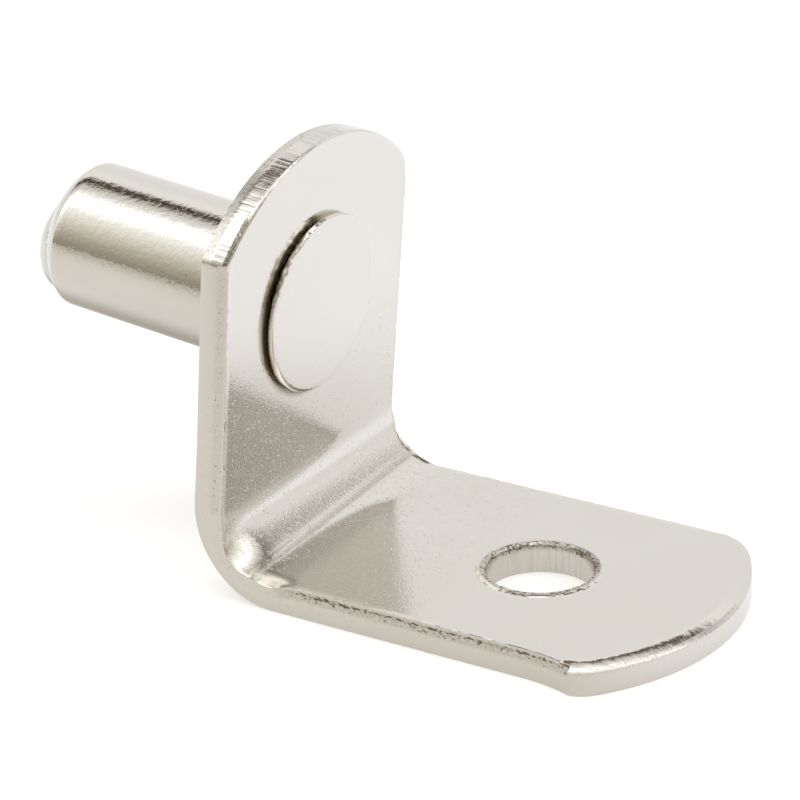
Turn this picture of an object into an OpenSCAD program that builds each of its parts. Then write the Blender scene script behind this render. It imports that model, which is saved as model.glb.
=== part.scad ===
// Shelf support pin: a folded steel angle bracket with a headed steel pin
// riveted through its upright plate. Millimetres, +Z up.
// The origin is the centre of the pin's seat, where the pin's axis meets the
// back face of the plate. The leg runs level along +X. The pin leaves the back
// face square to it, so it points along -X and tips up by the plate's lean.

/* [Sheet and bend] */
// Width of the steel strip
strip_w = 13.3; // [12.5:0.1:15]
// Thickness of the steel strip
sheet_t = 1.27; // [0.9:0.01:1.6]
// Inside radius of the bend between plate and leg
bend_r = 2.5; // [1.5:0.1:3]
// How far the plate leans in over the leg, past square, in degrees
lean = 5.4; // [0:0.1:8]

/* [Plate] */
// Height of the pin's seat above the underside of the leg
seat_h = 10.97; // [10.5:0.01:13]
// Height of the plate's rounded top above the pin's axis
plate_rise = 7.4; // [7.2:0.01:9]
// Radius of the plate's rounded top
plate_end_r = 8.85; // [8:0.05:12]
// How far the punch for the plate's top sat towards the +Y side
plate_shift = 0.08; // [0:0.01:0.15]
// Radius of the plate's corner on the +Y side
plate_corner_r = 1.6; // [0.6:0.1:2.4]
// Radius of the plate's corner on the -Y side
plate_cut_r = 0.4; // [0.1:0.1:1]
// How far the shears spread that corner sideways
plate_spread = 0.17; // [0.02:0.01:0.3]
// Length of the side over which it spreads
plate_spread_run = 8.6; // [4:0.1:9]

/* [Leg] */
// Reach of the leg from the pin's seat to the middle of its rounded end
leg_reach = 20.46; // [19:0.01:28]
// Radius of the leg's rounded end
leg_end_r = 9.95; // [8:0.05:14]
// How far the punch for the leg's end sat towards the -Y side
leg_shift = 0.1; // [0:0.01:0.15]
// Radius of the leg's corner on the +Y side
leg_corner_r = 3; // [0.6:0.1:3.4]
// Radius of the leg's corner on the -Y side
leg_cut_r = 1.6; // [0.1:0.1:2]
// How far the shears spread that corner sideways
leg_spread = 0.4; // [0.02:0.01:0.45]
// Length of the side over which it spreads
leg_spread_run = 2.2; // [1:0.1:4]
// Radius that the punch rolls on the inner edge of both round ends
end_roll = 0.32; // [0.1:0.01:0.45]

/* [Screw hole] */
// Diameter of the screw hole
hole_d = 4.5; // [3:0.1:5]
// Distance of the screw hole's centre from the pin's seat
hole_x = 11.9; // [11:0.1:13]
// Radius that the punch rolls on the upper rim of the hole
hole_roll = 0.36; // [0.1:0.01:0.45]

/* [Pin] */
// Diameter of the pin
pin_d = 6.35; // [6:0.05:6.5]
// Length of the pin from the plate's back face to its end face
pin_len = 10.85; // [8:0.05:14]
// Radius round the pin's free end
pin_end_r = 1.1; // [0.4:0.05:1.1]
// Diameter of the pip left on the end face where the wire was cropped
pip_d = 4.5; // [2:0.1:4.6]
// Height of the pip
pip_h = 0.95; // [0.3:0.05:1.2]
// Radius round the pip's end
pip_end_r = 0.8; // [0.05:0.05:0.9]
// How far the pip sits below the pin's axis
pip_drop = 0.6; // [0:0.05:0.65]

/* [Riveted head] */
// Diameter of the tenon that passes through the plate
tenon_d = 4.6; // [3.5:0.1:5]
// Diameter of the flattened head
head_d = 7.72; // [6:0.02:8.4]
// Thickness of the flattened head
head_t = 0.38; // [0.25:0.01:0.8]
// Radius round the head's rim
head_rim_r = 0.12; // [0.05:0.01:0.2]
// How far the head was spread above the pin's axis
head_rise = 0.2; // [0:0.05:0.4]

/* [Hidden] */
$fn = 96;

outer_r = bend_r + sheet_t;
under_z = -seat_h;
// The bend's centre lies outer_r above the leg's underside and outer_r inside
// the plate's back face
bend_z = under_z + outer_r;
bend_x = (outer_r + bend_z * sin(lean)) / cos(lean);
// The bend's centre measured along the plate from the pin's axis
plate_foot = bend_x * sin(lean) + bend_z * cos(lean);
// Overshoot of a cutting shape past the steel it cuts
past = 1;

// Turned disc of height h with a quarter round of radius edge on its top rim
module turned_disc(r, h, edge) {
    rotate_extrude()
        difference() {
            square([r, h]);
            translate([r - edge, h - edge])
                difference() {
                    square(edge + past);
                    circle(edge);
                }
        }
}

// Where along a strip's end the centre of a corner's circle lies. The circle
// touches the round end from inside, and the side at distance side from y = 0.
function corner_at(reach, end_r, shift, side, corner_r) =
    reach - end_r + sqrt(pow(end_r - corner_r, 2) - pow(side - corner_r - shift, 2));

// What is cut away round the corner on the +Y side of a strip's end
module corner_waste(reach, end_r, shift, side, corner_r) {
    corner_x = corner_at(reach, end_r, shift, side, corner_r);
    corner_y = side - corner_r;
    touch = atan2(corner_y - shift, corner_x - reach + end_r);
    far = 2 * corner_r;
    translate([corner_x, corner_y])
        difference() {
            polygon([[0, 0], [far * cos(touch), far * sin(touch)], [far, far], [0, far]]);
            circle(corner_r);
        }
}

// Outline of one end of the strip. It runs along +X from root to a round end
// at reach, whose centre is off the strip's middle by shift. The corner on the
// +Y side is rounded by corner_r. The one on the -Y side was sheared, which
// spread it sideways, and is rounded by cut_r.
module end_outline(root, reach, end_r, shift, corner_r, cut_r, spread, spread_run) {
    side = strip_w / 2;
    cut_x = corner_at(reach, end_r, -shift, side + spread, cut_r);
    difference() {
        union() {
            translate([root, -side]) square([reach - root, strip_w]);
            polygon([
                [cut_x - spread_run, -side],
                [cut_x, -side - spread],
                [reach, -side - spread],
                [reach, 0],
                [cut_x - spread_run, 0]
            ]);
        }
        corner_waste(reach, end_r, shift, side, corner_r);
        mirror([0, 1]) corner_waste(reach, end_r, -shift, side + spread, cut_r);
    }
}

// One flat end of the strip, its inner face up and its outer face at z = 0
module strip_end(root, reach, end_r, shift, corner_r, cut_r, spread, spread_run) {
    intersection() {
        linear_extrude(sheet_t)
            end_outline(root, reach, end_r, shift, corner_r, cut_r, spread, spread_run);
        union() {
            translate([reach - end_r, shift, 0]) turned_disc(end_r, sheet_t, end_roll);
            translate([root, -strip_w, 0]) cube([reach - end_r - root, 2 * strip_w, sheet_t]);
        }
    }
}

// The bend, a sector of a tube from the leg's root to the foot of the plate
module bend() {
    translate([bend_x, 0, bend_z])
        rotate([90, 0, 0])
            rotate([0, 0, 180 - lean])
                rotate_extrude(angle = 90 + lean)
                    translate([bend_r, -strip_w / 2]) square([sheet_t, strip_w]);
}

// Punch for the screw hole, with the roll that it leaves on the upper rim
module screw_hole() {
    translate([hole_x, 0, under_z]) {
        translate([0, 0, -past]) cylinder(d = hole_d, h = sheet_t + 2 * past);
        translate([0, 0, sheet_t - hole_roll])
            rotate_extrude()
                difference() {
                    square([hole_d / 2 + hole_roll, hole_roll + past]);
                    translate([hole_d / 2 + hole_roll, 0]) circle(hole_roll);
                }
    }
}

module bracket() {
    color([0.80, 0.78, 0.74])
        difference() {
            union() {
                // Leg, level, with its inner face up
                translate([0, 0, under_z])
                    strip_end(bend_x, leg_reach, leg_end_r, -leg_shift, leg_corner_r,
                        leg_cut_r, leg_spread, leg_spread_run);
                bend();
                // Plate, stood up by swapping its run with its thickness
                rotate([0, lean, 0])
                    mirror([1, 0, -1])
                        strip_end(plate_foot, plate_rise, plate_end_r, plate_shift,
                            plate_corner_r, plate_cut_r, plate_spread, plate_spread_run);
            }
            screw_hole();
            // Hole that the pin's tenon fills
            rotate([0, lean, 0])
                translate([-past, 0, 0])
                    rotate([0, 90, 0])
                        cylinder(d = tenon_d, h = sheet_t + 2 * past);
        }
}

// Pin, drawn standing on the plate's back face and then laid along -X
module pin() {
    color([0.78, 0.76, 0.71])
        rotate([0, lean - 90, 0]) {
            turned_disc(pin_d / 2, pin_len, pin_end_r);
            translate([-pip_drop, 0, 0]) turned_disc(pip_d / 2, pin_len + pip_h, pip_end_r);
            translate([0, 0, -sheet_t - head_t / 2]) cylinder(d = tenon_d, h = sheet_t + head_t);
            // Head spread over the plate's inner face
            translate([head_rise, 0, -sheet_t])
                mirror([0, 0, 1])
                    turned_disc(head_d / 2, head_t, head_rim_r);
        }
}

bracket();
pin();
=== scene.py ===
from math import atan2, cos, degrees, pi, radians, sin, sqrt

import bmesh
import bpy
from mathutils import Matrix, Vector


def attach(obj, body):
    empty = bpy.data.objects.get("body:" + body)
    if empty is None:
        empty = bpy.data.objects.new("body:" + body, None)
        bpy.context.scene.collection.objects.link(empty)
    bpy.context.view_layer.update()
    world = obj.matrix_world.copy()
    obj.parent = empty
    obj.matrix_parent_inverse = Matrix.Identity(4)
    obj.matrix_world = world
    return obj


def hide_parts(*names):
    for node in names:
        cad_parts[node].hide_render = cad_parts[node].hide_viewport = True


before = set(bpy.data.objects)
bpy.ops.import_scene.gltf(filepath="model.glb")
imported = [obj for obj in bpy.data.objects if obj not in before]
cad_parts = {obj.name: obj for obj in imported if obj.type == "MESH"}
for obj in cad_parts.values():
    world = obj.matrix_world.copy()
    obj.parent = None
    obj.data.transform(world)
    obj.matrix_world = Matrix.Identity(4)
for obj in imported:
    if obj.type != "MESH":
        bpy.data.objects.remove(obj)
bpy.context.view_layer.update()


# ---- Camera ----
# A long lens on a stand, looking down on the bracket from the near side,
# past the end of the leg, and tipped by a degree or so.
mm = 0.001
azimuth = radians(32.673)
elevation = radians(23.541)
tip = radians(-1.434)
distance = 157.19
back = Vector((sin(azimuth) * cos(elevation), -cos(azimuth) * cos(elevation), sin(elevation)))
level = Vector((cos(azimuth), sin(azimuth), 0))
upright = back.cross(level)
right = cos(tip) * level + sin(tip) * upright
top = cos(tip) * upright - sin(tip) * level
aim = Vector((5.381, 0, -3.2206)) * mm
# The lens sits a little to the left of its line to the aim, and below it
spot = aim + (back * distance - right * 0.0972 - top * 0.2807) * mm
lens = bpy.data.cameras.new("studio_camera")
lens.lens = 171.38
lens.sensor_width = 36
lens.clip_start = 0.01
lens.clip_end = 20
camera = bpy.data.objects.new("studio_camera", lens)
turn = Matrix((right, top, back)).transposed().to_4x4()
camera.matrix_world = Matrix.Translation(spot) @ turn
bpy.context.scene.collection.objects.link(camera)
bpy.context.scene.camera = camera


# ---- Bracket ----
# A strip of mild steel, sheared to width, blanked at both ends, punched with
# two round holes, folded in a press and barrel plated in bright nickel.

# Millimetres, from the point where the pin's axis meets the plate's back face
strip_w = 13.3
sheet_t = 1.27
bend_r = 2.5
lean = radians(5.4)
seat_h = 10.97
plate_rise = 7.4
plate_end_r = 8.85
plate_shift = 0.08
plate_corner_r = 1.6
plate_cut_r = 0.5
plate_spread = 0.17
plate_spread_run = 8.6
leg_reach = 20.455
leg_end_r = 9.95
leg_shift = -0.1
leg_corner_r = 3.0
leg_cut_r = 1.6
leg_spread = 0.395
leg_spread_run = 2.4
# How far in each end's rolled edge runs, how far down it goes and how round it is
plate_roll = (0.30, 0.12, 0.5)
leg_roll = (0.62, 0.29, 0.34)
hole_r = 2.25
hole_x = 11.9
hole_roll = 0.20
hole_lip_h = 0.08
tenon_r = 2.3
head_rise = 0.2
# Clearance of the tools above the steel, and the steel left past each end for them to trim
above_steel = 0.012
spare = 0.4
# How close two places are to count as the same
tolerance = 0.004 * mm
outer_r = bend_r + sheet_t
under_z = -seat_h
leg_top = under_z + sheet_t
hole_top = leg_top + hole_lip_h + above_steel
bend_z = under_z + outer_r
bend_x = (outer_r + bend_z * sin(lean)) / cos(lean)
plate_foot = bend_x * sin(lean) + bend_z * cos(lean)
# Where the riveted head's centre lies along the strip, unrolled from the root of the leg
head_along = plate_foot - bend_r * (pi / 2 + lean) - head_rise
half_w = strip_w / 2
up_plate = Vector((sin(lean), 0, cos(lean)))
off_plate = Vector((cos(lean), 0, -sin(lean)))


def choose(piece):
    """Makes the piece the only selected object."""
    bpy.ops.object.select_all(action="DESELECT")
    piece.select_set(True)
    bpy.context.view_layer.objects.active = piece


def open_mesh(piece):
    choose(piece)
    bpy.ops.object.mode_set(mode="EDIT")


def close_mesh():
    bpy.ops.object.mode_set(mode="OBJECT")


def pick(kind, test):
    """Selects only the vertices, edges or faces of the open mesh that pass the test."""
    bpy.ops.mesh.select_mode(type=kind)
    bpy.ops.mesh.select_all(action="DESELECT")
    mesh = bmesh.from_edit_mesh(bpy.context.object.data)
    kinds = {"VERT": mesh.verts, "EDGE": mesh.edges, "FACE": mesh.faces}
    for element in kinds[kind]:
        if test(element):
            element.select_set(True)
    bmesh.update_edit_mesh(bpy.context.object.data)


def runs_along(edge, direction):
    """Whether an edge lies along a direction."""
    run = edge.verts[1].co - edge.verts[0].co
    return run.length > 0 and abs(run.normalized().dot(direction)) > 0.999


def middle(edge):
    return (edge.verts[0].co + edge.verts[1].co) / 2


def finish_mesh(piece):
    """Merges doubles and turns every face outwards."""
    open_mesh(piece)
    bpy.ops.mesh.select_all(action="SELECT")
    bpy.ops.mesh.remove_doubles(threshold=0.0005 * mm)
    bpy.ops.mesh.normals_make_consistent(inside=False)
    close_mesh()


def hold(piece, name, weigh):
    """Puts each vertex in a named group of the piece, by the weight found for its place."""
    group = piece.vertex_groups.new(name=name)
    for vertex in piece.data.vertices:
        weight = float(weigh(vertex.co))
        if weight > 0:
            group.add([vertex.index], weight, "REPLACE")


def shift_group(piece, name, axis, distance):
    """Moves the vertices of a group along an axis by their weight times a distance."""
    modifier = piece.modifiers.new(name, "DISPLACE")
    modifier.direction = axis
    modifier.mid_level = 0.0
    modifier.strength = distance
    modifier.vertex_group = name
    bpy.context.view_layer.objects.active = piece
    bpy.ops.object.modifier_apply(modifier=name)


def roughen(piece, name, grain, depth, group="", axis="NORMAL"):
    """Works a random grain of the given size and depth into a group of the piece."""
    cloud = bpy.data.textures.new(name, "CLOUDS")
    cloud.noise_scale = grain
    cloud.noise_depth = 2
    modifier = piece.modifiers.new(name, "DISPLACE")
    modifier.texture = cloud
    modifier.texture_coords = "LOCAL"
    modifier.direction = axis
    modifier.mid_level = 0.5
    modifier.strength = depth
    modifier.vertex_group = group
    bpy.context.view_layer.objects.active = piece
    bpy.ops.object.modifier_apply(modifier=name)


def mark(piece, name, weigh):
    """Stores a value at each vertex of the piece, for its material to read."""
    layer = piece.data.attributes.new(name, "FLOAT", "POINT")
    layer.data.foreach_set("value", [float(weigh(v.co)) for v in piece.data.vertices])


def combine(piece, tool, operation):
    """Adds the tool's shape to the piece or cuts it out, and puts the tool away."""
    modifier = piece.modifiers.new("combine", "BOOLEAN")
    modifier.operation = operation
    modifier.solver = "MANIFOLD"
    modifier.object = tool
    bpy.context.view_layer.objects.active = piece
    bpy.ops.object.modifier_apply(modifier="combine")
    bpy.data.objects.remove(tool)


def smooth(piece, angle):
    """Shades the piece smooth wherever it turns by less than an angle, and its flats flat."""
    choose(piece)
    bpy.ops.object.shade_smooth_by_angle(angle=angle)
    modifier = piece.modifiers.new("even_shading", "WEIGHTED_NORMAL")
    modifier.keep_sharp = True
    bpy.ops.object.modifier_apply(modifier="even_shading")


def unit(value):
    """Keeps a value between 0 and 1."""
    return min(1.0, max(0.0, value))


# The strip's cross-section at the root of the leg, in thin rows up its sheared sides
bpy.ops.object.select_all(action="DESELECT")
bpy.ops.mesh.primitive_plane_add(size=1)
bracket = bpy.context.object
bracket.name = bracket.data.name = "nickel_bracket"
section = Matrix(((0, 0, -1), (0, 1, 0), (1, 0, 0))).to_4x4()
section_at = Vector((bend_x, 0, under_z + sheet_t / 2)) * mm
bracket.matrix_world = (
    Matrix.Translation(section_at) @ Matrix.Diagonal((1, strip_w * mm, sheet_t * mm, 1)) @ section
)
bpy.ops.object.transform_apply(location=True, rotation=True, scale=True)
# Height above the outer face, and how far the side stands in from the full width
side_rows = [
    (0.0, 0.045), (0.03, 0.015), (0.08, 0.003), (0.16, 0.0), (0.44, 0.0), (0.72, 0.0),
    (0.79, 0.012), (0.86, 0.040), (0.93, 0.048), (1.00, 0.050), (1.06, 0.054), (1.11, 0.060),
    (1.16, 0.045), (1.22, 0.030), (sheet_t, 0.080),
]
# Lengthwise cuts, close together near both sides and 0.7 mm apart between them
edge_columns = [0.11, 0.15, 0.20, 0.28, 0.42, 0.62, 0.70, 0.95, 1.25, 1.6]
open_mesh(bracket)
for height, _ in side_rows[1:-1]:
    bpy.ops.mesh.select_all(action="SELECT")
    bpy.ops.mesh.bisect(plane_co=(0, 0, (under_z + height) * mm), plane_no=(0, 0, 1))
columns = [half_w - c for c in edge_columns]
columns += [y * 0.7 for y in range(1, 8)]
for y in [0] + columns + [-c for c in columns]:
    bpy.ops.mesh.select_all(action="SELECT")
    bpy.ops.mesh.bisect(plane_co=(0, y * mm, 0), plane_no=(0, 1, 0))
for side in (-1, 1):
    for height, inset in side_rows:
        pick("VERT", lambda v: abs(v.co.y - side * half_w * mm) < tolerance
             and abs(v.co.z - (under_z + height) * mm) < tolerance)
        bpy.ops.transform.translate(value=(0, -side * inset * mm, 0))
# The burr that the shears left stands up along the inner face
for side in (-1, 1):
    for inset, lift in ((0.08, 0.020), (0.11, 0.032), (0.15, 0.024), (0.20, 0.008)):
        pick("VERT", lambda v: abs(v.co.y - side * (half_w - inset) * mm) < tolerance
             and abs(v.co.z - leg_top * mm) < tolerance)
        bpy.ops.transform.translate(value=(0, 0, lift * mm))
# The leg is drawn out from the section, and cut into short lengths
pick("FACE", lambda f: True)
leg_blank = leg_reach + spare - bend_x
bpy.ops.mesh.extrude_region_move(TRANSFORM_OT_translate={"value": (leg_blank * mm, 0, 0)})
pick("EDGE", lambda e: runs_along(e, Vector((1, 0, 0))))
bpy.ops.mesh.subdivide(number_cuts=150)
# The bend is swept from the root of the leg to the foot of the plate
pick("FACE", lambda f: abs(f.calc_center_median().x - bend_x * mm) < tolerance)
bpy.ops.mesh.spin(
    steps=60, angle=pi / 2 + lean, center=(bend_x * mm, 0, bend_z * mm), axis=(0, -1, 0)
)
# The plate is drawn out from the end of the bend
plate_blank = plate_rise + spare - plate_foot
bpy.ops.mesh.extrude_region_move(TRANSFORM_OT_translate={"value": up_plate * plate_blank * mm})
pick("EDGE", lambda e: runs_along(e, up_plate) and middle(e).dot(up_plate) > plate_foot * mm)
bpy.ops.mesh.subdivide(number_cuts=125)
close_mesh()
finish_mesh(bracket)


def depth_in_sheet(point):
    """Height of a point above the strip's outer face, in millimetres."""
    at = point / mm
    if at.x > bend_x and at.z < bend_z:
        return at.z - under_z
    if at.dot(up_plate) > plate_foot:
        return at.dot(off_plate)
    return outer_r - Vector((at.x - bend_x, at.z - bend_z)).length


def near_side(point):
    """1 within 1.3 mm of the strip's near side, falling to 0 at 2.6 mm from it."""
    return unit((-point.y / mm - half_w + 2.6) / 1.3)


def corner_at(reach, end_r, shift, side, corner_r):
    """Centre of a corner's circle that touches the round end and a side, and where it touches."""
    run = sqrt((end_r - corner_r) ** 2 - (side - corner_r - shift) ** 2)
    return reach - end_r + run, side - corner_r, atan2(side - corner_r - shift, run)


# The shears spread the near side of the strip outwards at both cut corners
leg_cut_x = corner_at(leg_reach, leg_end_r, -leg_shift, half_w + leg_spread, leg_cut_r)[0]
plate_cut_x = corner_at(plate_rise, plate_end_r, -plate_shift, half_w + plate_spread, plate_cut_r)[0]


def leg_run(point):
    """How far a point lies along the stretch by the leg's cut corner, squared and halved."""
    run = (point.x / mm - leg_cut_x - 0.33 + leg_spread_run) / leg_spread_run
    return min(1.4, max(0.0, run)) ** 2 / 2


def plate_run(point):
    """How far a point lies along the stretch by the plate's cut corner, evenly."""
    run = (point.dot(up_plate) / mm - plate_cut_x + plate_spread_run) / plate_spread_run
    return min(1.15, max(0.0, run)) / 1.2


hold(bracket, "leg_spread", lambda p: near_side(p) * leg_run(p))
shift_group(bracket, "leg_spread", "Y", -leg_spread * 2 * mm)
hold(bracket, "plate_spread", lambda p: near_side(p) * plate_run(p) * (p.x < 3 * mm))
shift_group(bracket, "plate_spread", "Y", -plate_spread * 1.2 * mm)


def bend_angle(point):
    """Tilt of the strip's inner face at a point, from 0 on an upright wall to 90 on the leg."""
    at = point / mm
    if at.x > bend_x and at.z < bend_z:
        return 90 + degrees((at.x - bend_x) / bend_r)
    if at.dot(up_plate) > plate_foot:
        return -degrees(lean + (at.dot(up_plate) - plate_foot) / bend_r)
    return 90 - degrees(atan2(bend_x - at.x, bend_z - at.z))


def fold(point, start, crest, end):
    """Rises from 0 at a start angle of the bend to 1 at its crest, and falls to 0 at an end angle."""
    angle = bend_angle(point)
    if angle <= start or angle >= end:
        return 0.0
    edge = start if angle < crest else end
    return cos(pi / 2 * (angle - crest) / (edge - crest)) ** 2


def dip(point):
    """How far the inner face of the bend falls away near the strip's near side, in millimetres."""
    angle = bend_angle(point)
    from_side = half_w + point.y / mm
    upper = unit(1 - from_side / 1.8)
    lower = unit(1 - from_side / 0.65)
    deep = (depth_in_sheet(point) / sheet_t) ** 2
    fall = 0.42 * fold(point, 8, 44, 84) * (0.3 * upper + 0.7 * upper ** 2.2)
    return deep * (fall + 0.27 * fold(point, 56, 84, 114) * lower ** 1.1)


# Folding squeezed the inner face out over the near side and drew its edge down
hold(bracket, "squeeze", lambda p: near_side(p) * fold(p, 0, 48, 115) * depth_in_sheet(p) ** 2 / 1.7)
hold(bracket, "dip_x", lambda p: dip(p) * max(0.0, cos(radians(bend_angle(p)))))
hold(bracket, "dip_z", lambda p: dip(p) * max(0.0, sin(radians(bend_angle(p)))))
hold(bracket, "crown", lambda p: fold(p, 30, 60, 84) * max(0.0, 1 - depth_in_sheet(p) / sheet_t))
shift_group(bracket, "squeeze", "Y", -0.12 * mm)
shift_group(bracket, "dip_x", "X", -mm)
shift_group(bracket, "dip_z", "Z", -mm)
shift_group(bracket, "crown", "Z", -0.04 * mm)


def off_crease(point):
    """Distance round the bend from the line where the folding tool bore, which slants a little."""
    return radians(bend_angle(point) - 59 + 1.1 * point.y / mm) * bend_r


def crease(point):
    """1 along the folding tool's line on the inside of the bend, falling to 0 beside it."""
    if depth_in_sheet(point) < sheet_t - 0.2:
        return 0.0
    return max(0.0, 1 - (off_crease(point) / 0.22) ** 2)


hold(bracket, "crease", crease)
shift_group(bracket, "crease", "X", 0.02 * mm)
shift_group(bracket, "crease", "Z", 0.02 * mm)
hold(bracket, "fracture", lambda p: abs(p.y) > (half_w - 0.1) * mm and depth_in_sheet(p) > 0.75)
hold(bracket, "burr", lambda p: abs(p.y) > (half_w - 0.16) * mm and depth_in_sheet(p) > 1.2)
roughen(bracket, "torn_steel", 0.16 * mm, 0.04 * mm, "fracture")
roughen(bracket, "ragged_burr", 0.3 * mm, 0.05 * mm, "burr")


def end_punch(name, reach, end_r, shift, corner_r, cut_r, spread, roll, taper):
    """Cutter for one end of a level strip that runs along +X with its outer face at z = 0."""
    length = 3.0
    below = 0.5
    breaks_at = 0.45
    height = sheet_t + above_steel
    roll_run, roll_drop, roundness = roll
    bpy.ops.object.select_all(action="DESELECT")
    bpy.ops.mesh.primitive_plane_add(size=1)
    tool = bpy.context.object
    tool.name = name
    stand = Matrix(((1, 0, 0), (0, 0, -1), (0, 1, 0))).to_4x4()
    at = Vector((reach + length / 2, 0, height / 2 - below / 2)) * mm
    tool.matrix_world = (
        Matrix.Translation(at) @ Matrix.Diagonal((length * mm, 1, (height + below) * mm, 1)) @ stand
    )
    bpy.ops.object.transform_apply(location=True, rotation=True, scale=True)
    # The tool's profile bites over the inner edge of the steel and rolls it
    open_mesh(tool)
    pick("EDGE", lambda e: middle(e).z > (height - 0.01) * mm)
    bpy.ops.mesh.extrude_region_move(TRANSFORM_OT_translate={"value": (0, 0, 0.3 * mm)})
    pick("EDGE", lambda e: middle(e).z > (height + 0.01) * mm
         and abs(middle(e).x - reach * mm) < tolerance)
    bpy.ops.mesh.extrude_region_move(
        TRANSFORM_OT_translate={"value": (-(roll_drop + 0.02) * mm, 0, 0)}
    )
    bpy.ops.mesh.select_all(action="SELECT")
    bpy.ops.mesh.dissolve_limited()
    pick("VERT", lambda v: abs(v.co.x - reach * mm) < tolerance
         and abs(v.co.z - height * mm) < tolerance)
    bpy.ops.mesh.bevel(
        offset=roll_drop * mm, segments=12, profile=roundness, affect="VERTICES"
    )
    pick("EDGE", lambda e: runs_along(e, Vector((0, 0, 1)))
         and abs(middle(e).x - reach * mm) < tolerance)
    bpy.ops.mesh.subdivide(number_cuts=11)
    bpy.ops.mesh.select_all(action="SELECT")
    bpy.ops.transform.resize(
        value=(roll_run / roll_drop, 1, 1), center_override=(reach * mm, 0, 0)
    )
    # The steel broke away under the punch with a slight taper
    pick("VERT", lambda v: abs(v.co.x - reach * mm) < tolerance and v.co.z < breaks_at * mm)
    bpy.ops.transform.rotate(
        value=-taper, orient_axis="Y", center_override=(reach * mm, 0, breaks_at * mm)
    )
    bpy.ops.mesh.select_all(action="SELECT")
    # It is swept round the cut corner, the round end and the far corner, from just past one
    # side of the strip to just past the other
    far_x, far_y, far_touch = corner_at(reach, end_r, shift, half_w + 0.004, corner_r)
    cut_x, cut_y, cut_touch = corner_at(reach, end_r, -shift, half_w + spread, cut_r)
    arc_centre = Vector((reach - end_r, shift, 0)) * mm
    cut_centre = Vector((cut_x, -cut_y, 0)) * mm
    far_centre = Vector((far_x, far_y, 0)) * mm
    past_side = radians(97)
    bpy.ops.transform.translate(value=(0, shift * mm, 0))
    bpy.ops.transform.rotate(value=cut_touch, orient_axis="Z", center_override=arc_centre)
    bpy.ops.transform.rotate(value=past_side - cut_touch, orient_axis="Z", center_override=cut_centre)
    sweeps = [
        (36, past_side - cut_touch, cut_centre), (240, cut_touch + far_touch, arc_centre),
        (36, past_side - far_touch, far_centre),
    ]
    for steps, angle, centre in sweeps:
        bpy.ops.mesh.spin(steps=steps, angle=angle, center=centre, axis=(0, 0, -1))
    close_mesh()
    finish_mesh(tool)
    return tool


def place(piece, matrix):
    """Moves a piece's mesh by a matrix and leaves its object at the origin."""
    piece.data.transform(matrix)
    finish_mesh(piece)


leg_punch = end_punch(
    "leg_punch", leg_reach, leg_end_r, leg_shift, leg_corner_r, leg_cut_r, leg_spread, leg_roll,
    taper=0.0,
)


def place_on_roll(point):
    """How far down the roll of the leg's end a point lies, from 0 to 1, and how far round it."""
    at = point / mm
    down = (sheet_t + above_steel - at.z) / leg_roll[1]
    swung = degrees(atan2(at.y - leg_shift, at.x - leg_reach + leg_end_r))
    return down if 0 < down < 1.02 else 0.0, swung


def fade_of_roll(point):
    """How much of the roll is missing round the far corner of the leg."""
    down, swung = place_on_roll(point)
    return down * unit((swung - 20) / 20)


def deeper_roll(point):
    """How much deeper the roll on the leg's end is, which grows from near side to far side."""
    down, swung = place_on_roll(point)
    return down * unit((swung + 38) / 40) * (1 - fade_of_roll(point))


hold(leg_punch, "fade_of_roll", fade_of_roll)
hold(leg_punch, "deeper_roll", deeper_roll)
shift_group(leg_punch, "fade_of_roll", "Z", (leg_roll[1] - 0.004) * mm)
shift_group(leg_punch, "deeper_roll", "Z", -0.06 * mm)
place(leg_punch, Matrix.Translation((0, 0, under_z * mm)))
roughen(leg_punch, "leg_wall", 0.35 * mm, 0.014 * mm)
combine(bracket, leg_punch, "DIFFERENCE")
plate_punch = end_punch(
    "plate_punch", plate_rise, plate_end_r, plate_shift, plate_corner_r, plate_cut_r,
    plate_spread, plate_roll, taper=radians(7),
)
# A level shape stood up as the plate, its run going up the plate and its height through it
stand_up = Matrix((
    (sin(lean), 0, cos(lean), 0), (0, 1, 0, 0), (cos(lean), 0, -sin(lean), 0), (0, 0, 0, 1)
))
place(plate_punch, stand_up)
roughen(plate_punch, "plate_wall", 0.35 * mm, 0.016 * mm)
combine(bracket, plate_punch, "DIFFERENCE")

# Screw hole, round which the punch raised a low, ragged lip
bpy.ops.object.select_all(action="DESELECT")
bpy.ops.mesh.primitive_torus_add(
    major_segments=180, minor_segments=32, major_radius=2.29 * mm, minor_radius=0.5 * mm
)
hole_lip = bpy.context.object
open_mesh(hole_lip)
bpy.ops.mesh.select_all(action="SELECT")
bpy.ops.transform.resize(value=(1, 1, 0.4), center_override=(0, 0, 0))
close_mesh()
place(hole_lip, Matrix.Translation((hole_x * mm, 0, (leg_top + hole_lip_h - 0.20) * mm)))
roughen(hole_lip, "ragged_lip", 0.25 * mm, 0.05 * mm)
combine(bracket, hole_lip, "UNION")
punch_h = sheet_t + 1.0
bpy.ops.object.select_all(action="DESELECT")
bpy.ops.mesh.primitive_cylinder_add(
    vertices=144, radius=hole_r * mm, depth=punch_h * mm,
    location=(hole_x * mm, 0, (hole_top - punch_h / 2) * mm),
)
hole_punch = bpy.context.object
bpy.ops.object.transform_apply(location=True, rotation=True, scale=True)
open_mesh(hole_punch)
pick("FACE", lambda f: f.normal.z > 0.9)
flare = (hole_r + hole_roll + 0.2) / hole_r
bpy.ops.mesh.extrude_region_move()
bpy.ops.transform.resize(value=(flare, flare, 1), center_override=(hole_x * mm, 0, hole_top * mm))
bpy.ops.mesh.extrude_region_move(TRANSFORM_OT_translate={"value": (0, 0, 0.6 * mm)})
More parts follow.
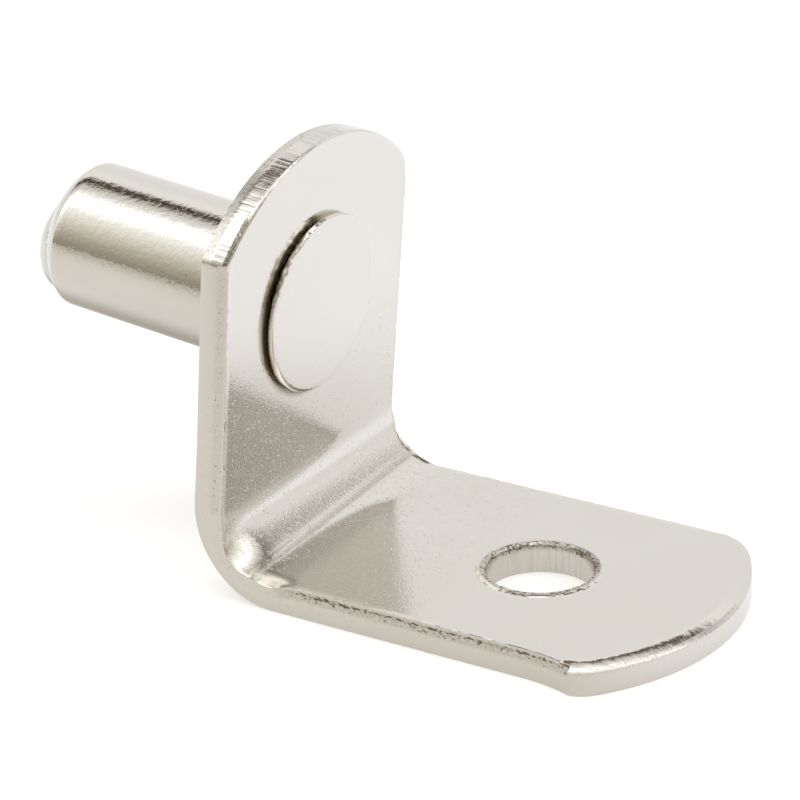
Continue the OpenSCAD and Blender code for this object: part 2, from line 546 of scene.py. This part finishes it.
pick("EDGE", lambda e: abs(middle(e).z - hole_top * mm) < tolerance
     and (middle(e) - Vector((hole_x * mm, 0, middle(e).z))).length < (hole_r + 0.02) * mm
     and abs((e.verts[0].co - e.verts[1].co).z) < tolerance)
bpy.ops.mesh.bevel(offset=hole_roll * mm, segments=7, affect="EDGES")
pick("EDGE", lambda e: runs_along(e, Vector((0, 0, 1))) and middle(e).z < (leg_top - 0.3) * mm)
bpy.ops.mesh.subdivide(number_cuts=9)
close_mesh()
finish_mesh(hole_punch)
hold(hole_punch, "flare", lambda p: (hole_top - 0.3) * mm < p.z < (hole_top + 0.01) * mm)
roughen(hole_punch, "torn_rim", 0.2 * mm, 0.06 * mm, "flare")
combine(bracket, hole_punch, "DIFFERENCE")

# Hole for the pin's tenon
bpy.ops.mesh.primitive_cylinder_add(vertices=96, radius=tenon_r * mm, depth=4 * mm)
rivet_punch = bpy.context.object
place(rivet_punch, stand_up)
combine(bracket, rivet_punch, "DIFFERENCE")
finish_mesh(bracket)
smooth(bracket, radians(24))


def node(tree, kind, **inputs):
    """Adds a shader node and sets its named inputs or links them."""
    made = tree.nodes.new(kind)
    for name, value in inputs.items():
        socket = made.inputs[name.replace("_", " ")]
        if isinstance(value, bpy.types.NodeSocket):
            tree.links.new(value, socket)
        else:
            socket.default_value = value
    return made


def ramp(tree, factor, stops):
    """Adds a colour ramp of (place, grey or colour) stops and returns its colour."""
    made = tree.nodes.new("ShaderNodeValToRGB")
    tree.links.new(factor, made.inputs["Fac"])
    band = made.color_ramp
    while len(band.elements) < len(stops):
        band.elements.new(0.5)
    for element, (at, shade) in zip(band.elements, stops):
        element.position = at
        colour = (shade, shade, shade) if isinstance(shade, (int, float)) else shade
        element.color = (*colour, 1)
    return made.outputs["Color"]


def mix_colour(tree, factor, first, second):
    """Blends two colours by a factor and returns the blend."""
    made = tree.nodes.new("ShaderNodeMix")
    made.data_type = "RGBA"
    tree.links.new(factor, made.inputs[0])
    for socket, value in ((made.inputs[6], first), (made.inputs[7], second)):
        if isinstance(value, bpy.types.NodeSocket):
            tree.links.new(value, socket)
        else:
            socket.default_value = (*value, 1)
    return made.outputs[2]


def maths(tree, operation, *values):
    """Adds a Math node over values or links and returns its value."""
    made = tree.nodes.new("ShaderNodeMath")
    made.operation = operation
    for socket, value in zip(made.inputs, values):
        if isinstance(value, bpy.types.NodeSocket):
            tree.links.new(value, socket)
        else:
            socket.default_value = value
    return made.outputs[0]


def step_up(tree, value, low, high):
    """0 below low and 1 above high, with a smooth rise between."""
    made = node(tree, "ShaderNodeMapRange", Value=value)
    made.interpolation_type = "SMOOTHSTEP"
    made.inputs["From Min"].default_value = low
    made.inputs["From Max"].default_value = high
    return made.outputs["Result"]


def noise(tree, place_on, scale, detail=2.0):
    made = node(tree, "ShaderNodeTexNoise", Vector=place_on, Scale=scale, Detail=detail)
    return made.outputs["Fac"]


def drawn_out(tree, place_on, turn, size):
    """Coordinates turned about Z, then drawn out by a size along each axis."""
    made = node(tree, "ShaderNodeMapping", Vector=place_on)
    made.vector_type = "TEXTURE"
    made.inputs["Rotation"].default_value = (0, 0, turn)
    made.inputs["Scale"].default_value = size
    return made.outputs["Vector"]


def marked(tree, name):
    """Reads a value that mark() stored."""
    made = node(tree, "ShaderNodeAttribute")
    made.attribute_name = name
    return made.outputs["Fac"]


def nickel(name, skin, roughness, peel_depth, grain_depth, scratch_depth=0.0):
    """Bright nickel plate, dimpled, grained and finely pocked. On the strip it also shows torn
    and scored steel with painted shade along its scores and seams, the scratches in the fold and a
    painted shade round the riveted head."""
    material = bpy.data.materials.new(name)
    material.use_nodes = True
    tree = material.node_tree
    shader = tree.nodes["Principled BSDF"]
    shader.inputs["Metallic"].default_value = 1.0
    place_on = node(tree, "ShaderNodeTexCoord").outputs["Object"]
    if skin == "strip":
        # The pattern follows the strip round its bend
        parts = node(tree, "ShaderNodeSeparateXYZ", Vector=place_on)
        unrolled = node(tree, "ShaderNodeCombineXYZ", Y=parts.outputs["Y"])
        tree.links.new(marked(tree, "along"), unrolled.inputs["X"])
        tree.links.new(marked(tree, "depth"), unrolled.inputs["Z"])
        place_on = unrolled.outputs["Vector"]
    tint = ramp(tree, noise(tree, place_on, 220.0, 3.0), [
        (0.3, (0.75, 0.722, 0.668)), (0.7, (0.735, 0.705, 0.645))
    ])
    peel = noise(tree, place_on, 4200.0)
    grain = noise(tree, place_on, 11000.0, 3.0)
    patch = noise(tree, place_on, 1100.0, 1.0)
    tear = noise(tree, drawn_out(tree, place_on, 0, (1.9, 1, 1)), 11000.0, 2.0)
    rag = maths(tree, "MULTIPLY_ADD", patch, 0.35, tear)
    relief = maths(tree, "MULTIPLY", grain, grain_depth)
    relief = maths(tree, "MULTIPLY_ADD", peel, peel_depth, relief)
    pit_and_seam_shade_colour = (0.12, 0.095, 0.065)
    if skin == "strip":
        # Torn steel takes a browner, rougher plate, with pits where the noise runs high
        torn = marked(tree, "torn")
        worn = maths(tree, "MULTIPLY", torn, step_up(tree, grain, 0.35, 0.65))
        tint = mix_colour(tree, maths(tree, "MULTIPLY", worn, 0.75), tint, (0.45, 0.41, 0.33))
        relief = maths(tree, "MULTIPLY_ADD", maths(tree, "MULTIPLY", torn, grain), 0.000012, relief)
        dark_specks = step_up(tree, maths(tree, "MULTIPLY_ADD", torn, 0.36, rag), 0.94, 1.06)
        # Dark specks of painted shade also lie along the seams of pressed and rolled edges
        seam_shade = maths(tree, "MULTIPLY_ADD", marked(tree, "seam_shade"), 0.9, tear)
        dark_specks = maths(tree, "MAXIMUM", dark_specks, step_up(tree, seam_shade, 1.1, 1.35))
        # The scores that the punches left are worked into the relief, with painted shade along them as
        # fine grey lines
        scored = marked(tree, "scored")
        score = noise(tree, drawn_out(tree, place_on, 0, (1, 1, 16)), 6500.0, 3.0)
        score_shade = maths(tree, "MULTIPLY", scored, step_up(tree, score, 0.45, 0.65))
        tint = mix_colour(tree, maths(tree, "MULTIPLY", score_shade, 0.3), tint, (0.42, 0.40, 0.36))
        relief = maths(tree, "MULTIPLY_ADD", maths(tree, "MULTIPLY", score, scored), 0.00002, relief)
        # Inside the fold, where the plating barrel polished least, the plate is duller and keeps
        # short scratches, each set of them lying its own way
        run = marked(tree, "along")
        above = step_up(tree, run, -0.0105, -0.0085)
        below = maths(tree, "SUBTRACT", 1.0, step_up(tree, run, 0.0045, 0.0075))
        in_fold = maths(tree, "MULTIPLY", above, below)
        deep = maths(tree, "MULTIPLY", in_fold, scratch_depth)
        for turn, length, size in ((0.3, 3.5, 9200.0), (-0.9, 2.5, 8100.0), (1.3, 3, 10700.0)):
            line = noise(tree, drawn_out(tree, place_on, turn, (length, 1, 1)), size, 1.0)
            relief = maths(tree, "MULTIPLY_ADD", step_up(tree, line, 0.68, 0.76), deep, relief)
        dull = maths(tree, "MULTIPLY_ADD", in_fold, 0.03, roughness)
        dull = maths(tree, "MULTIPLY_ADD", torn, 0.4, dull)
        dull = maths(tree, "MULTIPLY_ADD", marked(tree, "dented"), 0.09, dull)
        tree.links.new(dull, shader.inputs["Roughness"])
        base = mix_colour(tree, maths(tree, "MULTIPLY", dark_specks, 0.85), tint, pit_and_seam_shade_colour)
        # A painted shade and reflection of the crevice under the head's lip lies round the edge of the
        # riveted head, on its near side
        at_head = node(tree, "ShaderNodeVectorMath", Vector=place_on)
        at_head.operation = "DISTANCE"
        at_head.inputs[1].default_value = (head_along * mm, 0, sheet_t * mm)
        reach = maths(tree, "MULTIPLY_ADD", grain, 0.0004, at_head.outputs["Value"])
        crevice_shade = maths(tree, "SUBTRACT", 1.0, step_up(tree, reach, 0.0040, 0.00445))
        crevice_shade = maths(tree, "MULTIPLY", crevice_shade, step_up(tree, parts.outputs["Y"], 0.0005, -0.001))
        base = mix_colour(tree, maths(tree, "MULTIPLY", crevice_shade, 0.85), base, (0.09, 0.07, 0.045))
    else:
        dark_specks = step_up(tree, rag, 0.94, 1.06)
        base = mix_colour(tree, maths(tree, "MULTIPLY", dark_specks, 0.85), tint, pit_and_seam_shade_colour)
        shader.inputs["Roughness"].default_value = roughness
    tree.links.new(base, shader.inputs["Base Color"])
    bump = node(tree, "ShaderNodeBump", Strength=1.0, Distance=1.0, Height=relief)
    tree.links.new(bump.outputs["Normal"], shader.inputs["Normal"])
    return material


def along(point):
    """Length along the strip's inner face from the root of the leg, in metres."""
    angle = bend_angle(point)
    if angle > 90:
        return point.x - bend_x * mm
    if angle < -degrees(lean):
        return -bend_r * (pi / 2 + lean) * mm - (point.dot(up_plate) - plate_foot * mm)
    return radians(angle - 90) * bend_r * mm


def side_torn(point):
    """How badly the shears tore the upper part of both sides, worst under the leg's burr."""
    height = depth_in_sheet(point)
    if abs(point.y) < (half_w - 0.075) * mm or height < 0.77 or height > 1.19:
        return 0.0
    worst = 0.5 + 0.5 * unit((height - 0.98) / 0.1)
    angle = bend_angle(point)
    if angle > 90:
        return worst * min(1.0, (angle - 84) / 20) * (point.x < 17.2 * mm)
    return 0.3 if angle < 0 else 0.0


def plate_round(point):
    """Distance out from the plate's rounded top, in millimetres."""
    at = point / mm
    return Vector((at.y - plate_shift, at.dot(up_plate) - plate_rise + plate_end_r)).length - plate_end_r


def leg_round(point):
    """Distance out from the leg's rounded end, in millimetres."""
    at = point / mm
    return Vector((at.x - leg_reach + leg_end_r, at.y - leg_shift)).length - leg_end_r


def on_plate_wall(point):
    """Whether a point lies on the wall that the punch left round the plate's top."""
    high = point.dot(up_plate) > (plate_cut_x - 0.6) * mm
    return high and plate_round(point) > -0.14 and depth_in_sheet(point) < 1.2


def on_leg_wall(point):
    """Whether a point lies on the wall that the punch left round the leg's end."""
    out = point.x > (leg_cut_x - 0.2) * mm
    return out and leg_round(point) > -0.1 and depth_in_sheet(point) < sheet_t - leg_roll[1] + 0.03


def from_hole(point):
    """Distance of a point out from the axis of the screw hole, in millimetres."""
    return (point - Vector((hole_x, 0, under_z)) * mm).xy.length / mm


def on_hole_rim(point):
    """Whether a point lies in the torn steel of the screw hole's upper rim."""
    return from_hole(point) < hole_r + hole_roll + 0.05 and depth_in_sheet(point) > sheet_t - 0.2


def on_roll(point):
    """Whether a point lies on the lower part of the roll on the leg's end."""
    rolled = leg_round(point) > -0.25 and point.x > (leg_cut_x - 0.2) * mm
    return rolled and sheet_t - leg_roll[1] - 0.05 < depth_in_sheet(point) < sheet_t - 0.17


def beside_crease(point):
    """1 on the line of specks along the leg's side of the tool's line in the bend."""
    if depth_in_sheet(point) < sheet_t - 0.2:
        return 0.0
    return max(0.0, 1 - abs(off_crease(point) - 0.16) / 0.12)


def seam_shade(point):
    """How dark the painted shade is along the seams of the plate's rolled edge and the bend's near edge.
    """
    at = point / mm
    height = depth_in_sheet(point)
    if at.dot(up_plate) > plate_cut_x - 0.3 and plate_round(point) > -0.03 and 0.98 < height < 1.2:
        return min(1.0, max(0.45, (-at.y - 4.2) / 1.2)) if at.y < 0.5 else 0.0
    pressed = fold(point, 12, 30, 104)
    return pressed ** 0.3 * (at.y < 0.03 - half_w and 1.1 < height < 1.3) if pressed > 0 else 0.0


def scored(point):
    """How deeply the punches scored a wall, less on the plate's outer 0.42 mm, which broke away."""
    if on_plate_wall(point):
        return 1.0 if depth_in_sheet(point) > 0.42 else 0.2
    if from_hole(point) < hole_r + 0.02:
        return 0.6
    return 0.05 if on_leg_wall(point) else 0.0


def torn(point):
    """How badly the steel tore at a point."""
    if on_plate_wall(point):
        return 0.4 if depth_in_sheet(point) < 0.42 else 0.0
    if on_hole_rim(point):
        return 0.8
    if on_roll(point):
        return 0.4 if point.y < 1.5 * mm else 0.0
    return 0.0 if on_leg_wall(point) else max(side_torn(point), 0.5 * beside_crease(point))


def dented(point):
    """1 in the dip by the bend's near edge, falling to 0 where it is less than 0.05 mm deep."""
    return min(1.0, dip(point) / 0.05) if point.y < -0.5 * half_w * mm else 0.0


mark(bracket, "torn", torn)
mark(bracket, "scored", scored)
mark(bracket, "seam_shade", seam_shade)
mark(bracket, "dented", dented)
mark(bracket, "along", along)
mark(bracket, "depth", lambda p: depth_in_sheet(p) * mm)
bracket_nickel = nickel(
    "bracket_nickel", "strip", roughness=0.12, peel_depth=0.0000018, grain_depth=0.0000045,
    scratch_depth=0.0000065,
)
bracket.data.materials.clear()
bracket.data.materials.append(bracket_nickel)
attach(bracket, "root")
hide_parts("bracket")


# ---- Pin ----
# Turned steel pin. Its tenon goes through the plate and is hammered flat into
# a head; the free end is rounded round the pip left where the wire was cropped.
pin_r = 3.175
round_from = 10.05
round_to = 11.05
round_in = 1.92
fullness = 1.42
round_steps = 14
pip_r = 2.25
pip_top = 11.8
pip_end_r = 0.92
pip_drop = 0.6
head_r = 3.86
head_t = 0.38
bpy.ops.object.select_all(action="DESELECT")
bpy.ops.mesh.primitive_cylinder_add(
    vertices=240, radius=pin_r * mm, depth=round_from * mm, location=(0, 0, round_from / 2 * mm)
)
pin = bpy.context.object
pin.name = pin.data.name = "nickel_pin"
bpy.ops.object.transform_apply(location=True, rotation=True, scale=True)
open_mesh(pin)
pick("EDGE", lambda e: runs_along(e, Vector((0, 0, 1))))
bpy.ops.mesh.subdivide(number_cuts=40)
bpy.ops.mesh.select_all(action="SELECT")
bpy.ops.mesh.bisect(plane_co=(0, 0, (round_from - 0.03) * mm), plane_no=(0, 0, 1))


def draw_rings(rings, level, radius, centre=0.0):
    """Draws the selected end face out through rings of (level, radius, centre)."""
    for ring_level, ring_radius, ring_centre in rings:
        move = ((ring_centre - centre) * mm, 0, (ring_level - level) * mm)
        bpy.ops.mesh.extrude_region_move(TRANSFORM_OT_translate={"value": move})
        k = ring_radius / radius
        pivot = (ring_centre * mm, 0, ring_level * mm)
        bpy.ops.transform.resize(value=(k, k, 1), center_override=pivot)
        level, radius, centre = ring_level, ring_radius, ring_centre


# The free end, rounded over from the side to the foot of the pip
end_rings = []
for step in range(1, round_steps + 1):
    turn = radians(90 * step / round_steps)
    level = round_from + (round_to - round_from) * sin(turn) ** fullness
    end_rings.append((level, round_in + (pin_r - round_in) * cos(turn) ** fullness, 0))
pick("FACE", lambda f: f.normal.z > 0.9)
draw_rings(end_rings, round_from, pin_r)
# The tenon goes down through the plate, then out under the head's lip, round it and in
pick("FACE", lambda f: f.normal.z < -0.9)
tenon = [(0, tenon_r, 0), (-1.26, tenon_r, 0)]
under_lip = [(-1.28, 3.68), (-1.32, 3.73), (-1.36, 3.78), (-1.40, 3.82), (-1.44, 3.85)]
rim = [(-1.49, head_r), (-1.56, head_r), (-1.605, 3.83), (-1.635, 3.77)]
face = [(-sheet_t - head_t, radius) for radius in (3.68, 3.5, 3.2, 2.6, 1.6)]
head = [(level, radius, head_rise) for level, radius in under_lip + rim + face]
draw_rings(tenon + head, 0, pin_r)
close_mesh()
finish_mesh(pin)

bpy.ops.object.select_all(action="DESELECT")
bpy.ops.mesh.primitive_cylinder_add(
    vertices=128, radius=pip_r * mm, depth=3 * mm,
    location=(-pip_drop * mm, 0, (pip_top - 1.5) * mm),
)
pip = bpy.context.object
bpy.ops.object.transform_apply(location=True, rotation=True, scale=True)
open_mesh(pip)
pick("EDGE", lambda e: middle(e).z > (pip_top - 0.01) * mm)
bpy.ops.mesh.bevel(offset=pip_end_r * mm, segments=8, affect="EDGES")
close_mesh()
finish_mesh(pip)
combine(pin, pip, "UNION")


def ragged_rim(point):
    """How ragged the hammered rim of the head is, most of all at its upper near side."""
    at = point / mm
    out = at.xy.length
    return max(0.0, -2 * at.x * at.y / out ** 2) if at.z < -1.3 and out > 3.6 else 0.0


hold(pin, "ragged_rim", ragged_rim)
roughen(pin, "ragged_rim", 0.3 * mm, 0.16 * mm, "ragged_rim")
place(pin, Matrix.Rotation(lean - pi / 2, 4, "Y"))
smooth(pin, radians(32))
pin_nickel = nickel(
    "pin_nickel", "wire", roughness=0.07, peel_depth=0.000009, grain_depth=0.000004
)
pin.data.materials.clear()
pin.data.materials.append(pin_nickel)
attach(pin, "root")
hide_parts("pin")


# ---- Floor and light ----
# A plain white studio sweep under a long overhead softbox, with a dark gap
# between the softbox and the white wall behind, as a metal part is lit.
bpy.ops.object.select_all(action="DESELECT")
bpy.ops.mesh.primitive_plane_add(size=6, location=(0, 0, under_z * mm))
floor = bpy.context.object
floor.name = floor.data.name = "studio_floor"
white = bpy.data.materials.new("white_sweep")
white.use_nodes = True
tree = white.node_tree
shader = tree.nodes["Principled BSDF"]
shader.inputs["Roughness"].default_value = 1.0
shader.inputs["Specular IOR Level"].default_value = 0.0
rays = node(tree, "ShaderNodeLightPath")
place_on = node(tree, "ShaderNodeTexCoord").outputs["Object"]
# Mirrored in the metal, the sweep falls off into shade towards the camera, and under the pin
towards = node(tree, "ShaderNodeVectorMath", Vector=place_on)
towards.operation = "DOT_PRODUCT"
towards.inputs[1].default_value = (sin(azimuth), -cos(azimuth), 0)
from_far = node(tree, "ShaderNodeMapRange", Value=towards.outputs["Value"])
from_far.inputs["From Min"].default_value = -0.02
from_far.inputs["From Max"].default_value = 0.06
mirrored = ramp(tree, from_far.outputs["Result"], [
    (0.0, 1.0), (0.15, (0.99, 0.985, 0.98)), (0.34, (0.96, 0.945, 0.92)), (0.5, (0.90, 0.88, 0.85)),
    (0.7, (0.80, 0.78, 0.74)), (1.0, (0.66, 0.64, 0.60)),
])
under_pin = node(tree, "ShaderNodeVectorMath", Vector=drawn_out(tree, place_on, 0, (2, 1, 1)))
under_pin.operation = "DISTANCE"
under_pin.inputs[1].default_value = (-0.0065, 0.004, 0)
lit = step_up(tree, under_pin.outputs["Value"], 0.0015, 0.011)
mirrored = mix_colour(tree, lit, (0.56, 0.53, 0.48), mirrored)
# It is brighter and cooler far behind the bracket, and to the right, past the leg's end
far_glow = ramp(tree, from_far.outputs["Result"], [(0.05, (0.09, 0.11, 0.15)), (0.25, 0.0)])
far_glow = mix_colour(tree, lit, (0.0, 0.0, 0.0), far_glow)
sideways = node(tree, "ShaderNodeVectorMath", Vector=place_on)
sideways.operation = "DOT_PRODUCT"
sideways.inputs[1].default_value = (cos(azimuth), sin(azimuth), 0)
to_right = step_up(tree, sideways.outputs["Value"], 0.010, 0.019)
far_glow = mix_colour(tree, to_right, far_glow, (0.19, 0.21, 0.27))
# About half of what the metal shows of it is lit paint, and the rest is its own glow
faded = node(tree, "ShaderNodeVectorMath", Vector=mirrored)
faded.operation = "SCALE"
faded.inputs["Scale"].default_value = 0.5
paint = mix_colour(tree, rays.outputs["Is Glossy Ray"], (0.9, 0.9, 0.9), faded.outputs["Vector"])
tree.links.new(paint, shader.inputs["Base Color"])
own_glow = node(tree, "ShaderNodeVectorMath", Vector=mirrored)
own_glow.operation = "MULTIPLY_ADD"
own_glow.inputs[1].default_value = (0.44, 0.44, 0.44)
tree.links.new(far_glow, own_glow.inputs[2])
glow = mix_colour(tree, rays.outputs["Is Glossy Ray"], (0.36, 0.36, 0.36), own_glow.outputs["Vector"])
tree.links.new(glow, shader.inputs["Emission Color"])
shown = maths(tree, "MAXIMUM", rays.outputs["Is Camera Ray"], rays.outputs["Is Glossy Ray"])
tree.links.new(shown, shader.inputs["Emission Strength"])
floor.data.materials.append(white)

room = bpy.data.worlds.new("studio")
bpy.context.scene.world = room
room.use_nodes = True
tree = room.node_tree
backdrop = tree.nodes["Background"]
way = node(tree, "ShaderNodeTexCoord").outputs["Generated"]
parts = node(tree, "ShaderNodeSeparateXYZ", Vector=way)
away = node(tree, "ShaderNodeVectorMath", Vector=way)
away.operation = "DOT_PRODUCT"
away.inputs[1].default_value = (-sin(azimuth), cos(azimuth), 0)
swing = maths(tree, "ARCTAN2", away.outputs["Value"], parts.outputs["Z"])
round_room = node(tree, "ShaderNodeMapRange", Value=swing)
round_room.inputs["From Min"].default_value = -pi
round_room.inputs["From Max"].default_value = pi
# Brightness of the room by degrees from overhead, minus towards the camera's side
room_light = [
    (-180, 0.6), (-100, (0.55, 0.52, 0.46)), (-93, (0.36, 0.33, 0.28)), (-87, (0.30, 0.275, 0.22)),
    (-82, (0.38, 0.35, 0.285)), (-72, (0.42, 0.39, 0.315)), (-60, (0.51, 0.475, 0.39)),
    (-48, (0.62, 0.585, 0.50)), (-36, (0.775, 0.745, 0.665)), (-30, (0.87, 0.845, 0.765)),
    (-24, (0.975, 0.96, 0.875)), (-18, (1.06, 1.055, 1.01)), (-12, 1.2), (-8, 1.45), (-3, 2.0),
    (6, 2.0), (10, 1.35), (13, 1.15), (16, 0.95), (19, (0.84, 0.82, 0.80)), (22, (0.74, 0.72, 0.68)),
    (25, (0.60, 0.58, 0.54)), (27.5, (0.14, 0.12, 0.10)), (30, (0.05, 0.038, 0.025)),
    (34.5, (0.07, 0.055, 0.045)), (36.8, (0.42, 0.39, 0.35)), (38.7, (0.98, 0.96, 0.94)), (41.5, 1.04),
    (51, 1.01), (57, 0.96), (66, 0.93), (180, 0.95),
]
stops = [((angle + 180) / 360, shade) for angle, shade in room_light]
shade = ramp(tree, round_room.outputs["Result"], stops)
tree.links.new(shade, backdrop.inputs["Color"])
backdrop.inputs["Strength"].default_value = 1.0

bpy.context.scene.view_settings.view_transform = "Standard"
